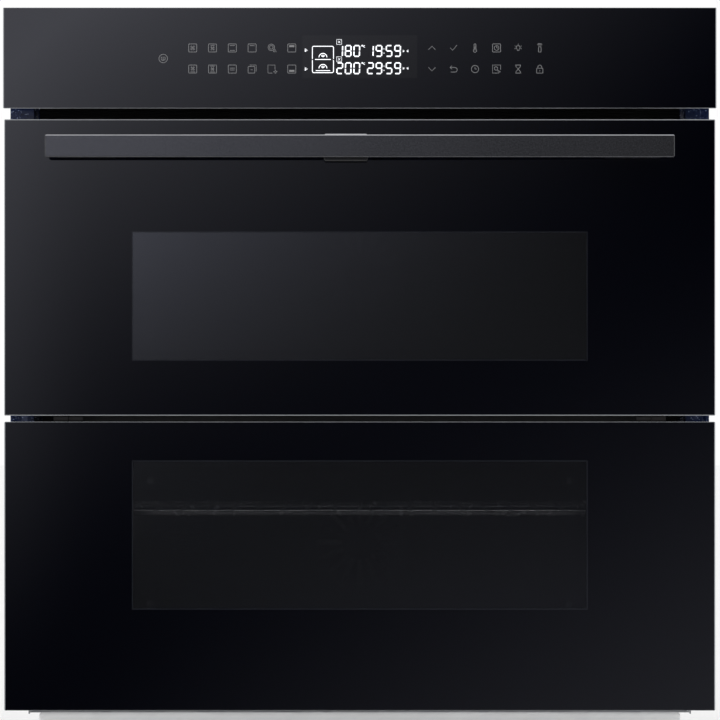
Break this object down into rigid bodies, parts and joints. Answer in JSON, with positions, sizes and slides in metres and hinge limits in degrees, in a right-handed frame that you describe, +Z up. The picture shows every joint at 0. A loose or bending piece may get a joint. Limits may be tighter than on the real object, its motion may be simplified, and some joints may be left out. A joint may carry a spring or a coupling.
{
  "type": "wall oven",
  "caption": "Built-in oven with a split drop-down glass door, handle with release lever, touch panel, enamelled cavity, divider, rack, fans and heaters.",
  "frame": {"origin": "middle of the casing's underside, on the shelf that the oven stands on", "axes": "+Z up, the door and controls face -Y, +X to the right as seen from the front"},
  "size_m": [0.595, 0.6135, 0.5903],
  "materials": {
    "black_glass": "polished black-backed glass",
    "clear_glass": "clear, heat-reflecting",
    "handle_metal": "fine satin, anodised graphite black",
    "black_paint": "semi-matt black",
    "navy_enamel": "glossy vitreous enamel, navy with fine pale speckles",
    "galvanised": "galvanised sheet, dull",
    "steel": "plain bright steel",
    "chrome_wire": "bright plated wire",
    "heater_tube": "dark oxidised tube",
    "mineral_wool": "matt fibrous wool",
    "dark_seal": "matt dark grey",
    "black_plastic": "matt moulded black",
    "circuit_board": "green board with moulded components",
    "lamp_glass": "clear ribbed glass"
  },
  "bodies": {
    "oven": {"air_channel_plate": "galvanised", "base_pan": "galvanised", "bottom_heater": "heater_tube", "cavity_back_wall": "navy_enamel", "cavity_ceiling": "navy_enamel", "cavity_floor": "navy_enamel", "cavity_wall_left": "navy_enamel", "cavity_wall_right": "navy_enamel", "control_carrier": "black_plastic", "control_glass": "black_glass", "cooling_fan_housing": "galvanised", "cooling_fan_motor": "steel", "display_module": "circuit_board", "divider": "navy_enamel", "door_gasket": "dark_seal", "fan_cover_lower": "navy_enamel", "fan_cover_upper": "navy_enamel", "fan_motor_lower": "steel", "fan_motor_upper": "steel", "front_crossmember": "galvanised", "front_frame": "navy_enamel", "grill_heater": "heater_tube", "hinge_socket_left": "steel", "hinge_socket_right": "steel", "insulation_wrap": "mineral_wool", "lamp_lower": "lamp_glass", "lamp_upper": "lamp_glass", "power_board": "circuit_board", "rear_panel": "galvanised", "ring_heater_lower": "heater_tube", "ring_heater_upper": "heater_tube", "side_panel_left": "galvanised", "side_panel_right": "galvanised", "side_runner_left": "chrome_wire", "side_runner_right": "chrome_wire", "terminal_cover": "black_plastic", "top_cover": "galvanised", "wire_rack": "chrome_wire"},
    "lower_door": {"lower_glass": "black_glass", "lower_door_tray": "black_paint", "lower_inner_glass": "clear_glass", "split_seal": "dark_seal", "hinge_leaf_left": "steel", "hinge_leaf_right": "steel", "flex_hinge_left": "steel", "flex_hinge_right": "steel"},
    "upper_door": {"upper_glass": "black_glass", "upper_door_tray": "black_paint", "upper_inner_glass": "clear_glass", "handle_bar": "handle_metal", "handle_post_left": "handle_metal", "handle_post_right": "handle_metal", "flex_leaf_left": "steel", "flex_leaf_right": "steel"},
    "lever": {"release_lever": "black_plastic"},
    "latch_left": {"latch_rod_left": "steel"},
    "latch_right": {"latch_rod_right": "steel"},
    "upper_fan": {"fan_wheel_upper": "steel"},
    "lower_fan": {"fan_wheel_lower": "steel"},
    "cooling_fan": {"cooling_fan_wheel": "black_plastic"}
  },
  "joints": [
    {"name": "main_door_hinge", "type": "hinge", "parent": "oven", "child": "lower_door", "pos_m": [0, -0.2805, 0.015], "axis": [1, 0, 0], "range_deg": [0, 90], "stiffness_Nm_per_rad": 6, "springref_deg": -34.38},
    {"name": "upper_door_hinge", "type": "hinge", "parent": "lower_door", "child": "upper_door", "pos_m": [0, -0.289, 0.24745], "axis": [1, 0, 0], "range_deg": [0, 90], "stiffness_Nm_per_rad": 1.5, "springref_deg": -34.38},
    {"name": "lever_pull", "type": "slide", "parent": "upper_door", "child": "lever", "axis": [0, -1, 0], "range_m": [0, 0.004], "stiffness_N_per_m": 400},
    {"name": "latch_left_lift", "type": "slide", "parent": "upper_door", "child": "latch_left", "axis": [0, 0, 1], "range_m": [0, 0.004]},
    {"name": "latch_right_lift", "type": "slide", "parent": "upper_door", "child": "latch_right", "axis": [0, 0, 1], "range_m": [0, 0.004]},
    {"name": "upper_fan_spin", "type": "hinge", "parent": "oven", "child": "upper_fan", "pos_m": [0, 0.1807, 0.375], "axis": [0, 1, 0], "continuous": true},
    {"name": "lower_fan_spin", "type": "hinge", "parent": "oven", "child": "lower_fan", "pos_m": [0, 0.1807, 0.131], "axis": [0, 1, 0], "continuous": true},
    {"name": "cooling_fan_spin", "type": "hinge", "parent": "oven", "child": "cooling_fan", "pos_m": [0, 0.1265, 0.5], "axis": [0, 0, 1], "continuous": true}
  ],
  "couplings": [
    {"joint": "latch_left_lift", "follows": "lever_pull", "ratio": 1},
    {"joint": "latch_right_lift", "follows": "lever_pull", "ratio": 1}
  ]
}
